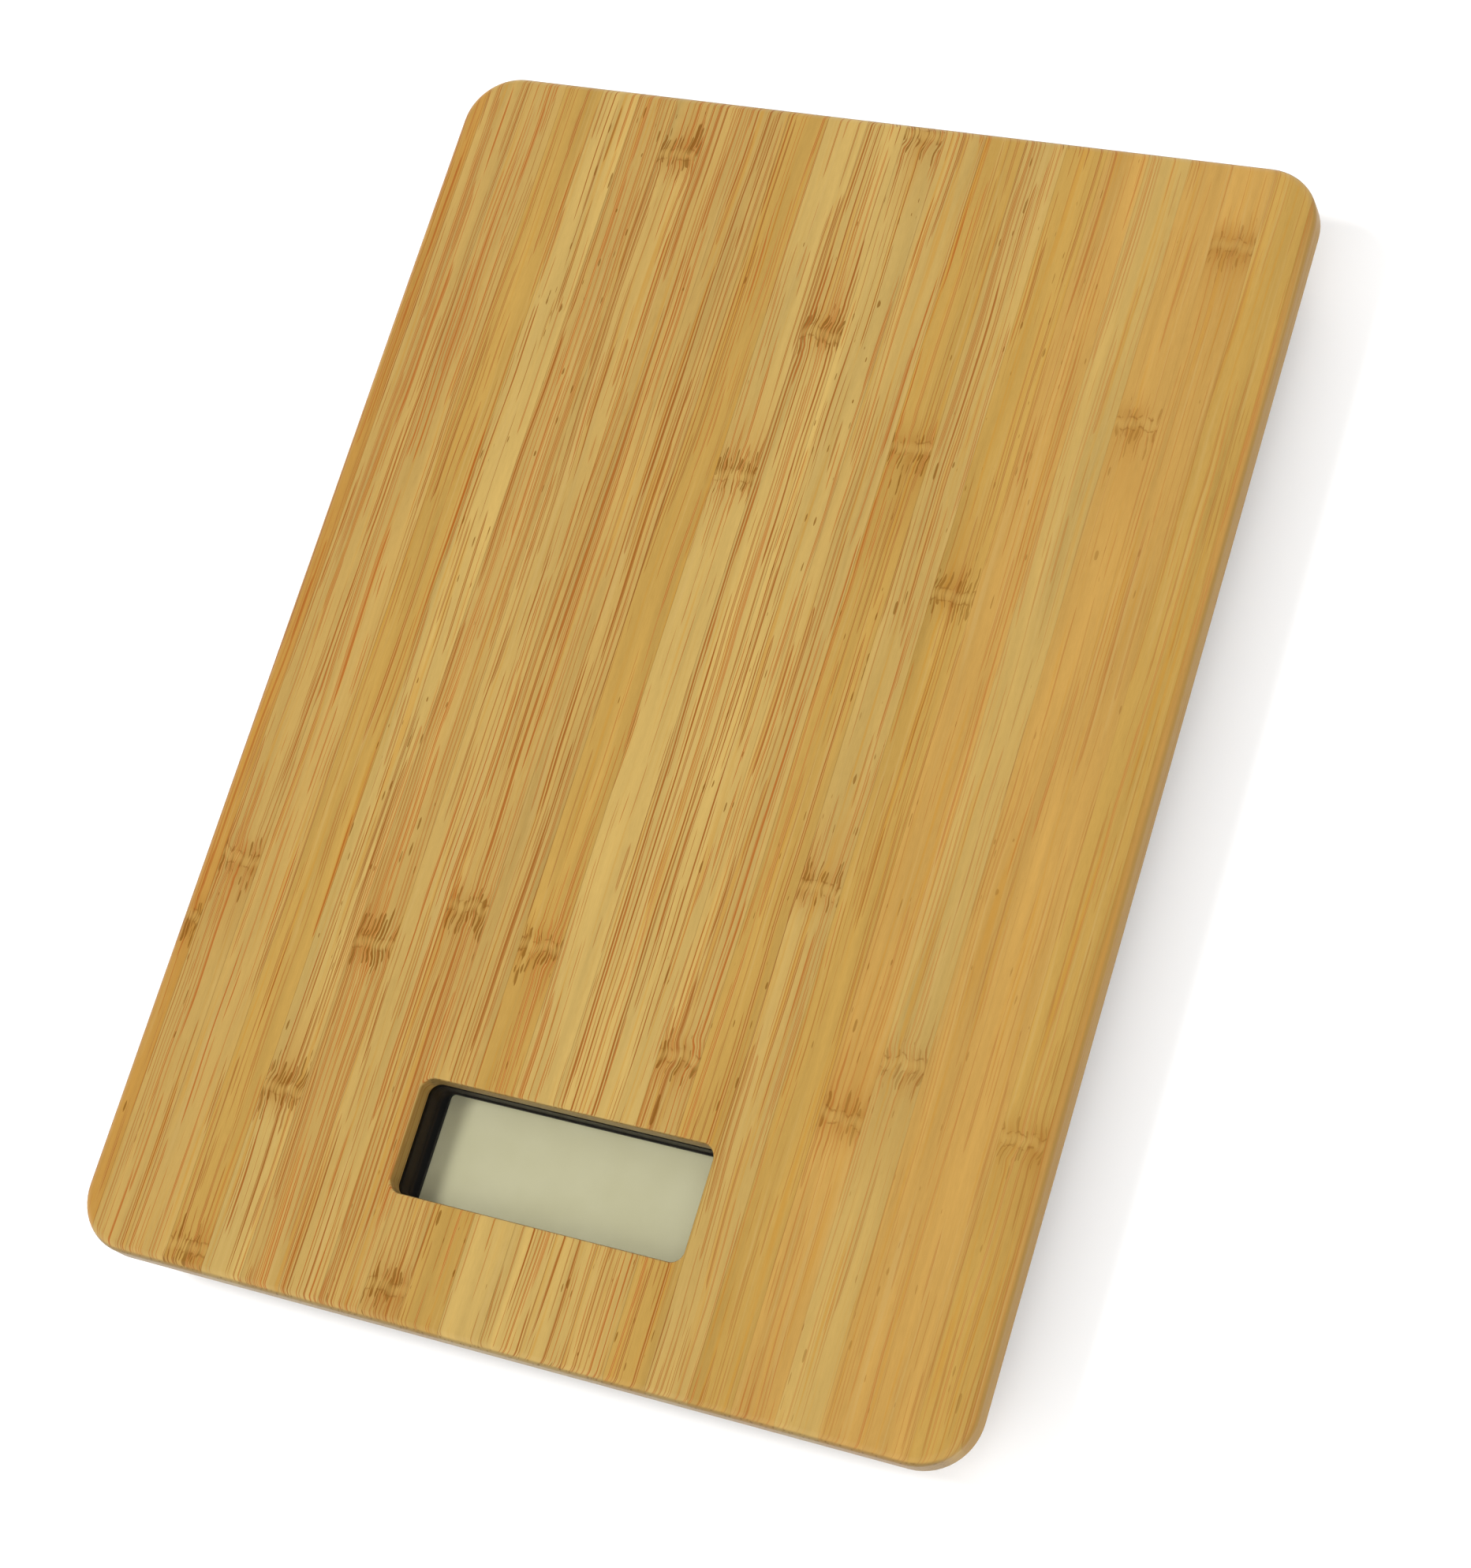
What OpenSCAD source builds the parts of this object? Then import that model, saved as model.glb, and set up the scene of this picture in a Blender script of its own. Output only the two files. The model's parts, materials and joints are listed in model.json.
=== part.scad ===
// Slim kitchen scale: a bamboo platform over a shallow black base, with a recessed
// display window near its front edge and one load cell with a sprung foot at each corner.
// Millimetres, +Z up, +X right, +Y away from the display edge.
// Origin: on the table, under the middle of the platform.

/* [Overall size] */
// Width of the platform, left to right
platform_w = 165; // [155:1:175]
// Length of the platform, from the display edge to the far edge
platform_l = 230; // [220:1:245]
// Height of the platform's top face above the table
total_h = 18; // [18:0.5:20]

/* [Platform board] */
// Thickness of the bamboo board
board_t = 5; // [4.5:0.5:6]
// Radius of the board's corners in plan
board_corner_r = 10; // [8:1:14]
// Radius of the rounded upper edge
board_edge_r = 1.5; // [1:0.1:2.5]

/* [Display] */
// Width of the window cut through the board
window_w = 54.6; // [50:0.2:56]
// Length of the window, front to back
window_l = 20.2; // [18:0.2:22]
// Distance from the display edge of the board to the window
window_setback = 21.6; // [20:0.2:24]
// Corner radius of the window
window_r = 2.3; // [1:0.1:3]
// Depth of the display's face under the platform's top face
display_depth = 9; // [8.5:0.1:9.2]
// Width of the display that shows between the lips of its frame
view_w = 51; // [46:0.2:52]
// Length of the display that shows between the lips of its frame
view_l = 19.6; // [17:0.2:20]

/* [Base] */
// How far the base stands in from the board's edge
base_inset = 7; // [6:0.5:9]
// Thickness of the base's side wall
wall_t = 1.8; // [1.4:0.1:2.2]
// Thickness of the base's floor
floor_t = 1.5; // [1.2:0.1:1.6]
// Gap between the table and the underside of the base
ground_gap = 2.5; // [2.2:0.1:2.8]

/* [Feet and load cells] */
// Distance from the middle to a foot, left and right
foot_x = 56; // [54:1:57]
// Distance from the middle to a foot, front and back
foot_y = 88; // [84:1:89]
// Diameter of a foot
foot_d = 25; // [20:0.5:26]
// How far a foot can press up into its well
foot_travel = 0.5; // [0.3:0.1:0.5]
// Thickness of a load cell's steel plate
cell_t = 1.6; // [1.2:0.1:1.8]

/* [Battery] */
// Diameter of the coin cell
coin_d = 20; // [16:1:20]
// Thickness of the coin cell
coin_t = 3.2; // [2.5:0.1:3.2]
// Angle that the battery door turns to unlock
door_turn = 40; // [35:1:45]

/* [Unit button] */
// Diameter of the button under the base
button_d = 8; // [6:0.5:9]
// Travel of the button
button_travel = 0.3; // [0.2:0.05:0.35]

/* [Hidden] */
$fn = 64;

// Corners, as the signs of x and y
FRONT_LEFT = [-1, -1];
FRONT_RIGHT = [1, -1];
BACK_LEFT = [-1, 1];
BACK_RIGHT = [1, 1];
CORNERS = [FRONT_LEFT, FRONT_RIGHT, BACK_LEFT, BACK_RIGHT];

// Cuts run this far past the faces that they open
cut = 1;
// Joined shapes run this far into each other
sink = 0.5;
// Play of a thread or pin in its hole, on the diameter
thread_play = 0.1;
// Room past a screw's tip in a blind hole
tip_gap = 0.2;

// Heights of the main layers
board_z = total_h - board_t;
floor_z = ground_gap;
floor_top = floor_z + floor_t;
display_z = total_h - display_depth;

// Window, lens and the tape that holds it in the board's rebate
window_y = -platform_l / 2 + window_setback + window_l / 2;
lens_w = window_w + 5.4;
lens_l = window_l + 5.8;
lens_r = 3;
lens_t = 1;
tape_t = 0.2;
tape_lip = 0.4;
rebate_play = 0.2;

// Display stack, from its face down
polariser_t = 0.3;
front_glass_t = 0.9;
rear_glass_t = 0.8;
reflector_t = 0.3;
glass_w = view_w + 5;
glass_l = view_l + 6.4;
ledge = 2.3;
polariser_margin = 1.6;
front_glass_z = display_z - polariser_t - front_glass_t;
rear_glass_z = front_glass_z - rear_glass_t;
reflector_z = rear_glass_z - reflector_t;
zebra_w = 1.8;
zebra_end = 3;

// Display frame
frame_w = window_w + 7.4;
frame_l = window_l + 11.8;
frame_lip_t = 0.8;
view_r = 0.8;
frame_play = 0.2;
ear_x = frame_w / 2 + 3.6;
ear_y = 12.5;
ear_t = 2;
ear_w = 5;
boss_d = 5.4;
EARS = [for (sx = [-1, 1], sy = [-1, 1]) [sx * ear_x, window_y + sy * ear_y]];

// Circuit board and what it carries
pcb_gap = 0.5;
pcb_top = reflector_z - pcb_gap;
pcb_t = 1;
pcb_z = pcb_top - pcb_t;
pcb_w = 76;
pcb_front = window_y - 17.7;
pcb_back = window_y + 29.3;
chip_y = window_y + 23;
chip_d = 11;
chip_h = 1.6;
pad_row_y = pcb_back - 3;
touch_d = 6;
touch_wire_d = 0.5;
touch_turns = 5;
touch_cover = 3;
touch_top = total_h - touch_cover;
touch_pocket_d = touch_d + 2;
TOUCH_SPOTS = [for (sx = [-1, 1]) [sx * ear_x, window_y]];

// Machine and wood screws: head diameter, head height, thread diameter
frame_screw = [4.2, 1, 2.2];
board_screw = [5.6, 1.9, 3];
clamp_screw = [3.6, 1, 2];
screw_bite = 3.3;
frame_screw_bite = 3;

// Base
base_w = platform_w - 2 * base_inset;
base_l = platform_l - 2 * base_inset;
base_corner_r = board_corner_r - 1;
base_edge_r = 1.5;
post_d = 9.4;
counterbore_d = 6.6;
post_roof = 2.7;
board_screw_z = board_z - post_roof;
side_post = [66, 50];
back_post = [22, 97];
display_post = [34, -38];
POSTS = concat(
    [for (c = CORNERS) [c.x * side_post.x, c.y * side_post.y]],
    [for (p = [back_post, display_post], sx = [-1, 1]) [sx * p.x, p.y]]
);
rib_t = 1.4;
rib_h = 3.5;
rib_x = 38;
CROSS_RIBS = [22, 46, 70];
LONG_RIBS = [-rib_x, 0, rib_x];

// Foot, its well and the load cell above it
pad_d = foot_d - 3;
pad_t = 1.4;
pad_recess = 0.4;
foot_z = pad_t - pad_recess;
foot_top = 3.6;
well_d = foot_d + 2;
well_top = foot_top + foot_travel + 0.3;
stem_d = 9;
stem_hole_d = 11;
pin_d = 3.8;
pin_head_d = 5.4;
pin_head_h = 0.8;
cell_hole_d = 4.2;
seat_w = 34;
seat_l = 30;
seat_pocket = 0.6;
cell_z = well_top + 1.6 + seat_pocket;
cell_w = 32;
cell_l = 28;
cell_rim = 4;
tongue_w = 9;
tongue_r = 6.5;
cell_corner_r = 1.5;
clamp_t = 1.6;
clamp_r = 2.5;
clamp_z = cell_z + cell_t;
clamp_hole = [14, 12];
clamp_hole_floor = 0.8;
gauge_w = 6;
gauge_l = 4.6;
gauge_t = 0.15;
gauge_y = 7.2;

// Battery
battery = [0, window_y + 59.3];
door_r = 12.7;
door_play = 0.3;
door_notch_play = 0.2;
door_skirt_t = 1.2;
door_skirt_h = 0.9;
door_lug_r = 14.2;
door_lug_h = 0.7;
door_lug_gap = 0.05;
door_lug_arc = 18;
door_notch_arc = 22;
door_lugs = 3;
door_lug_start = 60;
door_slot = [15, 1.8, 0.8];
door_mark_d = 1.2;
door_mark_h = 0.3;
door_mark_gap = 2;
holder_r = 16.5;
holder_step_z = floor_top + 1;
coin_z = holder_step_z + 0.1;
coin_top = coin_z + coin_t;
coin_play = 0.4;
coin_cap_h = 0.5;
coin_cap_inset = 1.2;
contact_t = 0.3;
contact_w = 4;
contact_slot_w = contact_w + 0.4;
contact_pocket = 3;
contact_x = coin_d / 2 + 0.02;
contact_foot_z = holder_step_z + 0.2;
contact_tab_x = 13.4;
positive_tab_z = coin_top + 0.4;
holder_top = coin_top + 1.5;

// Unit button and the snap dome over it
button = [24, chip_y];
button_flange = 1.5;
button_flange_t = 0.5;
button_proud = 0.4;
button_play = 0.3;
nub_d = 2.4;
nub_h = 0.25;
dome_d = 6.5;
dome_h = 0.4;
dome_t = 0.15;

// Wires
wire_d = 0.9;
wire_sides = 8;
wire_pitch = 1.4;
wire_steps = 3;
battery_pad_x = 7;

// Plan outlines -------------------------------------------------------------------

module rounded_rect(w, l, r) {
    square([w - 2 * r, l], center = true);
    square([w, l - 2 * r], center = true);
    for (c = CORNERS)
        translate([c.x * (w / 2 - r), c.y * (l / 2 - r)]) circle(r);
}

module rounded_plate(w, l, h, r) {
    linear_extrude(h) rounded_rect(w, l, r);
}

module rounded_ring(w, l, h, r, hole_w, hole_l, hole_r) {
    difference() {
        rounded_plate(w, l, h, r);
        translate([0, 0, -cut]) rounded_plate(hole_w, hole_l, h + 2 * cut, hole_r);
    }
}

// Half-section of a slab's border, from its straight core out to its rounded upper edge
module edge_section(reach, h, edge_r) {
    square([reach - edge_r, h]);
    square([reach, h - edge_r]);
    translate([reach - edge_r, h - edge_r]) circle(edge_r);
}

// Slab with rounded corners in plan and a rounded upper edge all round
module soft_slab(w, l, h, corner_r, edge_r) {
    core_w = w - 2 * corner_r;
    core_l = l - 2 * corner_r;
    translate([-core_w / 2, -core_l / 2, 0]) cube([core_w, core_l, h]);
    for (side = [0, 180]) {
        rotate([0, 0, side]) translate([core_w / 2, core_l / 2, 0]) rotate([90, 0, 0])
            linear_extrude(core_l) edge_section(corner_r, h, edge_r);
        rotate([0, 0, side + 90]) translate([core_l / 2, core_w / 2, 0]) rotate([90, 0, 0])
            linear_extrude(core_w) edge_section(corner_r, h, edge_r);
    }
    for (quarter = [0 : 3]) {
        x_sign = quarter == 0 || quarter == 3 ? 1 : -1;
        y_sign = quarter < 2 ? 1 : -1;
        translate([x_sign * core_w / 2, y_sign * core_l / 2, 0])
            rotate([0, 0, quarter * 90]) rotate_extrude(angle = 90)
                intersection() {
                    edge_section(corner_r, h, edge_r);
                    square([corner_r, h]);
                }
    }
}

// Screw with its head below and its thread pointing up, head seated at z = 0
module screw_up(size, thread_l) {
    translate([0, 0, -size[1]]) cylinder(d = size[0], h = size[1]);
    cylinder(d = size[2], h = thread_l);
}

// Tubes swept along a path --------------------------------------------------------

function unit(v) = v / norm(v);

// Point on the smooth curve through points p, between p[i] and p[i + 1]
function curve_point(p, i, t) =
    let (
        a = p[max(i - 1, 0)],
        b = p[i],
        c = p[i + 1],
        d = p[min(i + 2, len(p) - 1)]
    )
    0.5 * (2 * b + (c - a) * t + (2 * a - 5 * b + 4 * c - d) * t * t
        + (3 * b - a - 3 * c + d) * t * t * t);

function smooth_path(p) = concat(
    [for (i = [0 : len(p) - 2], s = [0 : wire_steps - 1]) curve_point(p, i, s / wire_steps)],
    [p[len(p) - 1]]
);

function tangent(p, i) = unit(p[min(i + 1, len(p) - 1)] - p[max(i - 1, 0)]);

function ring(p, i, r, sides) =
    let (
        along = tangent(p, i),
        across = unit(cross(along, [0, 0, 1])),
        over = cross(across, along)
    )
    [
        for (k = [0 : sides - 1])
        let (turn = k * 360 / sides)
        p[i] + r * (cos(turn) * across + sin(turn) * over)
    ];

module sweep(p, d, sides) {
    n = len(p);
    polyhedron(
        points = [for (i = [0 : n - 1]) each ring(p, i, d / 2, sides)],
        faces = concat(
            [[for (k = [0 : sides - 1]) k]],
            [[for (k = [sides - 1 : -1 : 0]) (n - 1) * sides + k]],
            [
                for (i = [0 : n - 2], k = [0 : sides - 1])
                let (a = i * sides + k, b = i * sides + (k + 1) % sides)
                each [[a, a + sides, b + sides], [a, b + sides, b]]
            ]
        )
    );
}

// Platform and display ------------------------------------------------------------

module platform_board() {
    color("burlywood")
        difference() {
            translate([0, 0, board_z])
                soft_slab(platform_w, platform_l, board_t, board_corner_r, board_edge_r);
            translate([0, window_y, board_z - cut])
                rounded_plate(window_w, window_l, board_t + 2 * cut, window_r);
            translate([0, window_y, board_z - cut])
                rounded_plate(lens_w + rebate_play, lens_l + rebate_play,
                    lens_t + tape_t + cut, lens_r);
            for (p = TOUCH_SPOTS)
                translate([p.x, p.y, board_z - cut])
                    cylinder(d = touch_pocket_d, h = touch_top - board_z + cut);
            for (p = POSTS)
                translate([p.x, p.y, board_z - cut])
                    cylinder(d = board_screw[2] + thread_play, h = screw_bite + tip_gap + cut);
            for (p = EARS)
                translate([p.x, p.y, board_z - cut])
                    cylinder(d = frame_screw[2] + thread_play, h = frame_screw_bite + tip_gap + cut);
        }
}

module window_lens() {
    color([0.85, 0.9, 0.92, 0.4])
        translate([0, window_y, board_z]) rounded_plate(lens_w, lens_l, lens_t, lens_r);
}

module lens_tape() {
    color("black")
        translate([0, window_y, board_z + lens_t])
            rounded_ring(lens_w, lens_l, tape_t, lens_r,
                window_w + 2 * tape_lip, window_l + 2 * tape_lip, window_r);
}

// Block centred under the window, t thick from height z up
module display_layer(w, l, z, t) {
    translate([-w / 2, window_y - l / 2, z]) cube([w, l, t]);
}

module display_frame() {
    color("black")
        difference() {
            union() {
                translate([0, window_y, pcb_top])
                    rounded_plate(frame_w, frame_l, board_z - pcb_top, lens_r);
                for (p = EARS) {
                    inner_x = sign(p.x) * (frame_w / 2 - sink);
                    translate([min(p.x, inner_x), p.y - ear_w / 2, board_z - ear_t])
                        cube([abs(p.x - inner_x), ear_w, ear_t]);
                    translate([p.x, p.y, pcb_top]) cylinder(d = boss_d, h = board_z - pcb_top);
                }
            }
            translate([0, window_y, display_z + frame_lip_t])
                rounded_plate(window_w, window_l, board_z, window_r);
            translate([0, window_y, pcb_top])
                rounded_plate(view_w, view_l, board_z, view_r);
            display_layer(glass_w + frame_play, glass_l + frame_play,
                pcb_top - cut, display_z - pcb_top + cut);
            for (p = EARS)
                translate([p.x, p.y, pcb_top - cut])
                    cylinder(d = frame_screw[2] + thread_play, h = board_z - pcb_top + 2 * cut);
        }
}

module display_polariser() {
    color("lightgoldenrodyellow")
        display_layer(glass_w - 2 * polariser_margin, glass_l - 2 * polariser_margin,
            display_z - polariser_t, polariser_t);
}

module display_front_glass() {
    color("aliceblue") display_layer(glass_w, glass_l, front_glass_z, front_glass_t);
}

module display_rear_glass() {
    color("azure") display_layer(glass_w, glass_l - 2 * ledge, rear_glass_z, rear_glass_t);
}

module display_reflector() {
    color("silver")
        display_layer(glass_w - 2 * polariser_margin, glass_l - 2 * ledge - polariser_margin,
            reflector_z, reflector_t);
}

module zebra_connectors() {
    color("hotpink")
        for (side = [-1, 1])
            translate([0, window_y + side * (glass_l / 2 - ledge / 2), 0])
                translate([-glass_w / 2 + zebra_end, -zebra_w / 2, pcb_top])
                    cube([glass_w - 2 * zebra_end, zebra_w, front_glass_z - pcb_top]);
}

module circuit_board() {
    color("seagreen")
        difference() {
            translate([-pcb_w / 2, pcb_front, pcb_z]) cube([pcb_w, pcb_back - pcb_front, pcb_t]);
            for (p = EARS)
                translate([p.x, p.y, pcb_z - cut])
                    cylinder(d = frame_screw[2] + thread_play, h = pcb_t + 2 * cut);
        }
}

// Drop of black resin over the bonded chip
module controller_chip() {
    cap_r = (chip_d * chip_d / 4 + chip_h * chip_h) / (2 * chip_h);
    color("#1c1c1e")
        intersection() {
            translate([0, chip_y, pcb_top + chip_h - cap_r]) sphere(cap_r);
            translate([0, chip_y, pcb_top]) cylinder(d = chip_d, h = chip_h + cut);
        }
}

module capacitors() {
    size = [2, 1.25, 1.2];
    spots = [[-12, 3.5], [-12, 0], [-12, -3.5], [12, 3.5], [12, 0], [-20, 2]];
    color("peru")
        for (p = spots)
            translate([p.x - size.x / 2, chip_y + p.y - size.y / 2, pcb_top]) cube(size);
}

module resistors() {
    size = [1.6, 0.8, 0.45];
    spots = [[-16, 3.5], [-16, 1.2], [-16, -1.2], [-16, -3.5], [16, 3], [16, 0.6], [16, -1.8]];
    color("#222226")
        for (p = spots)
            translate([p.x - size.x / 2, chip_y + p.y - size.y / 2, pcb_top]) cube(size);
}

// Tuning-fork crystal in its tin can, lying on the board
module crystal() {
    can_d = 2;
    can_l = 6;
    color("silver")
        translate([22, chip_y - 3, pcb_top + can_d / 2 + 0.1]) rotate([0, 90, 0])
            cylinder(d = can_d, h = can_l);
}

// Springs that carry the touch signal up to the underside of the bamboo
module touch_springs() {
    coil_steps = 14;
    coil_r = (touch_d - touch_wire_d) / 2;
    rise = touch_top - pcb_top - touch_wire_d;
    steps = touch_turns * coil_steps;
    color("gold")
        for (p = TOUCH_SPOTS)
            translate([p.x, p.y, pcb_top + touch_wire_d / 2])
                sweep(
                    [
                        for (i = [0 : steps])
                        [
                            coil_r * cos(i * 360 / coil_steps),
                            coil_r * sin(i * 360 / coil_steps),
                            rise * i / steps
                        ]
                    ],
                    touch_wire_d, 6);
}

module frame_screws() {
    color("silver")
        for (p = EARS)
            translate([p.x, p.y, pcb_z])
                screw_up(frame_screw, board_z + frame_screw_bite - pcb_z);
}

// Snap dome: a thin metal cap under the circuit board, rim up, crown down
module switch_dome() {
    rim_r = dome_d / 2;
    crown_r = dome_d / 5;
    color("silver")
        translate([button.x, button.y, pcb_z])
            rotate_extrude()
                polygon([
                    [0, -dome_h], [crown_r, -dome_h], [rim_r, -dome_t], [rim_r, 0],
                    [rim_r - dome_t, 0], [crown_r, dome_t - dome_h], [0, dome_t - dome_h]
                ]);
}

module unit_button() {
    color("dimgray")
        translate([button.x, button.y, 0]) {
            translate([0, 0, floor_z - button_proud])
                cylinder(d = button_d, h = floor_t + button_proud + button_flange_t);
            translate([0, 0, floor_top + door_lug_gap])
                cylinder(d = button_d + 2 * button_flange, h = button_flange_t - door_lug_gap);
            translate([0, 0, floor_top]) cylinder(d = nub_d, h = button_flange_t + nub_h);
        }
}

// Base ----------------------------------------------------------------------------

module at_corner(c) {
    translate([c.x * foot_x, c.y * foot_y, 0]) children();
}

// Bayonet notches beside the lugs' locked places, door_turn away from them
module door_notches() {
    for (k = [0 : door_lugs - 1])
        rotate([0, 0, door_lug_start + k * 360 / door_lugs - door_turn - door_notch_arc / 2])
            rotate_extrude(angle = door_notch_arc)
                translate([door_r - cut, 0])
                    square([door_lug_r + door_notch_play - door_r + cut, floor_t + 2 * cut]);
}

module base_body() {
    difference() {
        translate([0, 0, board_z]) mirror([0, 0, 1])
            soft_slab(base_w, base_l, board_z - floor_z, base_corner_r, base_edge_r);
        translate([0, 0, floor_top])
            rounded_plate(base_w - 2 * wall_t, base_l - 2 * wall_t, board_z, base_corner_r - wall_t);
    }
    for (p = POSTS)
        translate([p.x, p.y, floor_z]) cylinder(d = post_d, h = board_z - floor_z);
    for (c = CORNERS)
        at_corner(c) translate([-seat_w / 2, -seat_l / 2, floor_z])
            cube([seat_w, seat_l, cell_z - floor_z]);
    for (y = CROSS_RIBS)
        translate([-rib_x - rib_t / 2, y - rib_t / 2, floor_top - sink])
            cube([2 * rib_x + rib_t, rib_t, rib_h + sink]);
    for (x = LONG_RIBS)
        translate([x - rib_t / 2, CROSS_RIBS[0], floor_top - sink])
            cube([rib_t, CROSS_RIBS[2] - CROSS_RIBS[0], rib_h + sink]);
}

module base_shell() {
    color("#202022")
        difference() {
            base_body();
            for (p = POSTS) {
                translate([p.x, p.y, floor_z - cut])
                    cylinder(d = counterbore_d, h = board_screw_z - floor_z + cut);
                translate([p.x, p.y, board_screw_z - cut])
                    cylinder(d = board_screw[2] + thread_play, h = post_roof + 2 * cut);
            }
            for (c = CORNERS)
                at_corner(c) {
                    translate([0, 0, floor_z - cut])
                        cylinder(d = well_d, h = well_top - floor_z + cut);
                    cylinder(d = stem_hole_d, h = cell_z + cut);
                    translate([-cell_w / 2 + cell_rim, -cell_l / 2 + cell_rim, cell_z - seat_pocket])
                        cube([cell_w - 2 * cell_rim, cell_l - 2 * cell_rim, seat_pocket + cut]);
                    for (s = [-1, 1])
                        translate([s * clamp_hole.x, s * clamp_hole.y, floor_top + clamp_hole_floor])
                            cylinder(d = clamp_screw[2] + thread_play, h = cell_z);
                }
            translate([battery.x, battery.y, floor_z - cut]) {
                cylinder(r = door_r + door_play, h = floor_t + 2 * cut);
                door_notches();
            }
            for (turn = [0, -door_turn])
                translate([battery.x, battery.y, floor_z - cut]) rotate([0, 0, turn - 90])
                    translate([door_lug_r + door_mark_gap, 0, 0])
                        cylinder(d = door_mark_d, h = door_mark_h + cut);
            translate([button.x, button.y, floor_z - cut])
                cylinder(d = button_d + 2 * button_play, h = floor_t + 2 * cut);
        }
}

module board_screws() {
    color("silver")
        for (p = POSTS)
            translate([p.x, p.y, board_screw_z]) screw_up(board_screw, post_roof + screw_bite);
}

// Corners: load cell, gauge, clamp, wires, foot and pad ------------------------------

// Steel plate with a tongue from its inner edge; c mirrors it into its corner
module load_cell(c) {
    color("lightsteelblue")
        at_corner(c) mirror([0, c.y < 0 ? 1 : 0, 0]) translate([0, 0, cell_z])
            difference() {
                linear_extrude(cell_t)
                    union() {
                        difference() {
                            rounded_rect(cell_w, cell_l, cell_corner_r);
                            square([cell_w - 2 * cell_rim, cell_l - 2 * cell_rim], center = true);
                        }
                        translate([-tongue_w / 2, -cell_l / 2 + cell_rim - 1])
                            square([tongue_w, cell_l / 2 - cell_rim + 1]);
                        circle(tongue_r);
                    }
                translate([0, 0, -cut]) cylinder(d = cell_hole_d, h = cell_t + 2 * cut);
                for (s = [-1, 1])
                    translate([s * clamp_hole.x, s * c.y * clamp_hole.y, -cut])
                        cylinder(d = clamp_screw[2] + thread_play, h = cell_t + 2 * cut);
            }
}

module strain_gauge(c) {
    color("darkorange")
        at_corner(c) translate([-gauge_w / 2, -c.y * gauge_y - gauge_l / 2, clamp_z])
            cube([gauge_w, gauge_l, gauge_t]);
}

module cell_clamp(c) {
    color("ivory")
        at_corner(c) translate([0, 0, clamp_z])
            difference() {
                rounded_plate(seat_w, seat_l, clamp_t, clamp_r);
                translate([-cell_w / 2 + cell_rim, -cell_l / 2 + cell_rim, -cut])
                    cube([cell_w - 2 * cell_rim, cell_l - 2 * cell_rim, clamp_t + 2 * cut]);
                for (s = [-1, 1])
                    translate([s * clamp_hole.x, s * clamp_hole.y, -cut])
                        cylinder(d = clamp_screw[2] + thread_play, h = clamp_t + 2 * cut);
            }
}

module clamp_screws() {
    color("silver")
        for (c = CORNERS, s = [-1, 1])
            at_corner(c) translate([s * clamp_hole.x, s * clamp_hole.y, clamp_z + clamp_t])
                mirror([0, 0, 1])
                    screw_up(clamp_screw, clamp_z + clamp_t - floor_top - clamp_hole_floor - tip_gap);
}

// Three wires of a load cell, side by side: over the clamp, down to the floor, to the board.
// Points are for a right-hand corner; a left-hand one mirrors them.
FRONT_ROUTE = [
    [foot_x, -foot_y + 6.5, 8.9], [foot_x, -foot_y + 9, 10.7], [foot_x - 0.5, -foot_y + 16, 11],
    [52, -64, 9], [46, -58.5, 7.4], [38, -57, 7], [31, -57, 7]
];
BACK_ROUTE = [
    [foot_x, foot_y - 6.5, 8.9], [foot_x, foot_y - 9, 10.7], [foot_x - 0.5, foot_y - 16, 11],
    [54, 68, 9], [50, 60, 6], [48, 50, 5], [47, 30, 4.8], [47, 0, 4.8], [46, -28, 4.8],
    [42, -43, 5.2], [34, -50, 6.6], [27, -53, 7.3], [23, -56, 7]
];

// Point p of a route, moved along to wire k and mirrored into corner c
function wire_point(p, k, c) = [c.x * (p.x + k * wire_pitch), p.y - c.y * k * wire_pitch, p.z];

module cell_wires(c) {
    route = c.y < 0 ? FRONT_ROUTE : BACK_ROUTE;
    color("whitesmoke")
        for (k = [-1, 0, 1])
            sweep(smooth_path([for (p = route) wire_point(p, k, c)]), wire_d, wire_sides);
}

module foot(c) {
    color("#2a2a2c")
        at_corner(c) {
            difference() {
                translate([0, 0, foot_z]) cylinder(d = foot_d, h = foot_top - foot_z);
                translate([0, 0, foot_z - cut]) cylinder(d = pad_d, h = pad_recess + cut);
            }
            translate([0, 0, foot_top - sink]) cylinder(d = stem_d, h = cell_z - foot_top + sink);
            translate([0, 0, cell_z - sink]) cylinder(d = pin_d, h = cell_t + 2 * sink);
            translate([0, 0, clamp_z]) cylinder(d = pin_head_d, h = pin_head_h);
        }
}

module foot_pad(c) {
    color("gray") at_corner(c) cylinder(d = pad_d, h = pad_t);
}

// Battery -------------------------------------------------------------------------

module battery_holder() {
    color("#2b2b2d")
        translate([battery.x, battery.y, 0])
            difference() {
                translate([0, 0, floor_top]) cylinder(r = holder_r, h = holder_top - floor_top);
                translate([0, 0, floor_top - cut])
                    cylinder(r = door_lug_r + 0.5, h = holder_step_z - floor_top + cut);
                translate([0, 0, floor_top])
                    cylinder(d = coin_d + 2 * coin_play, h = positive_tab_z - floor_top);
                translate([coin_d / 2 - sink, -contact_slot_w / 2, holder_step_z])
                    cube([contact_pocket, contact_slot_w, holder_top]);
                translate([-holder_r - cut, -contact_slot_w / 2, coin_top])
                    cube([holder_r + cut, contact_slot_w, holder_top]);
                translate([coin_d / 2, -contact_slot_w / 2, positive_tab_z])
                    cube([holder_r, contact_slot_w, holder_top]);
            }
}

module coin_cell() {
    color("silver")
        translate([battery.x, battery.y, coin_z]) {
            cylinder(d = coin_d, h = coin_t - coin_cap_h);
            cylinder(d = coin_d - 2 * coin_cap_inset, h = coin_t);
        }
}

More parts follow.
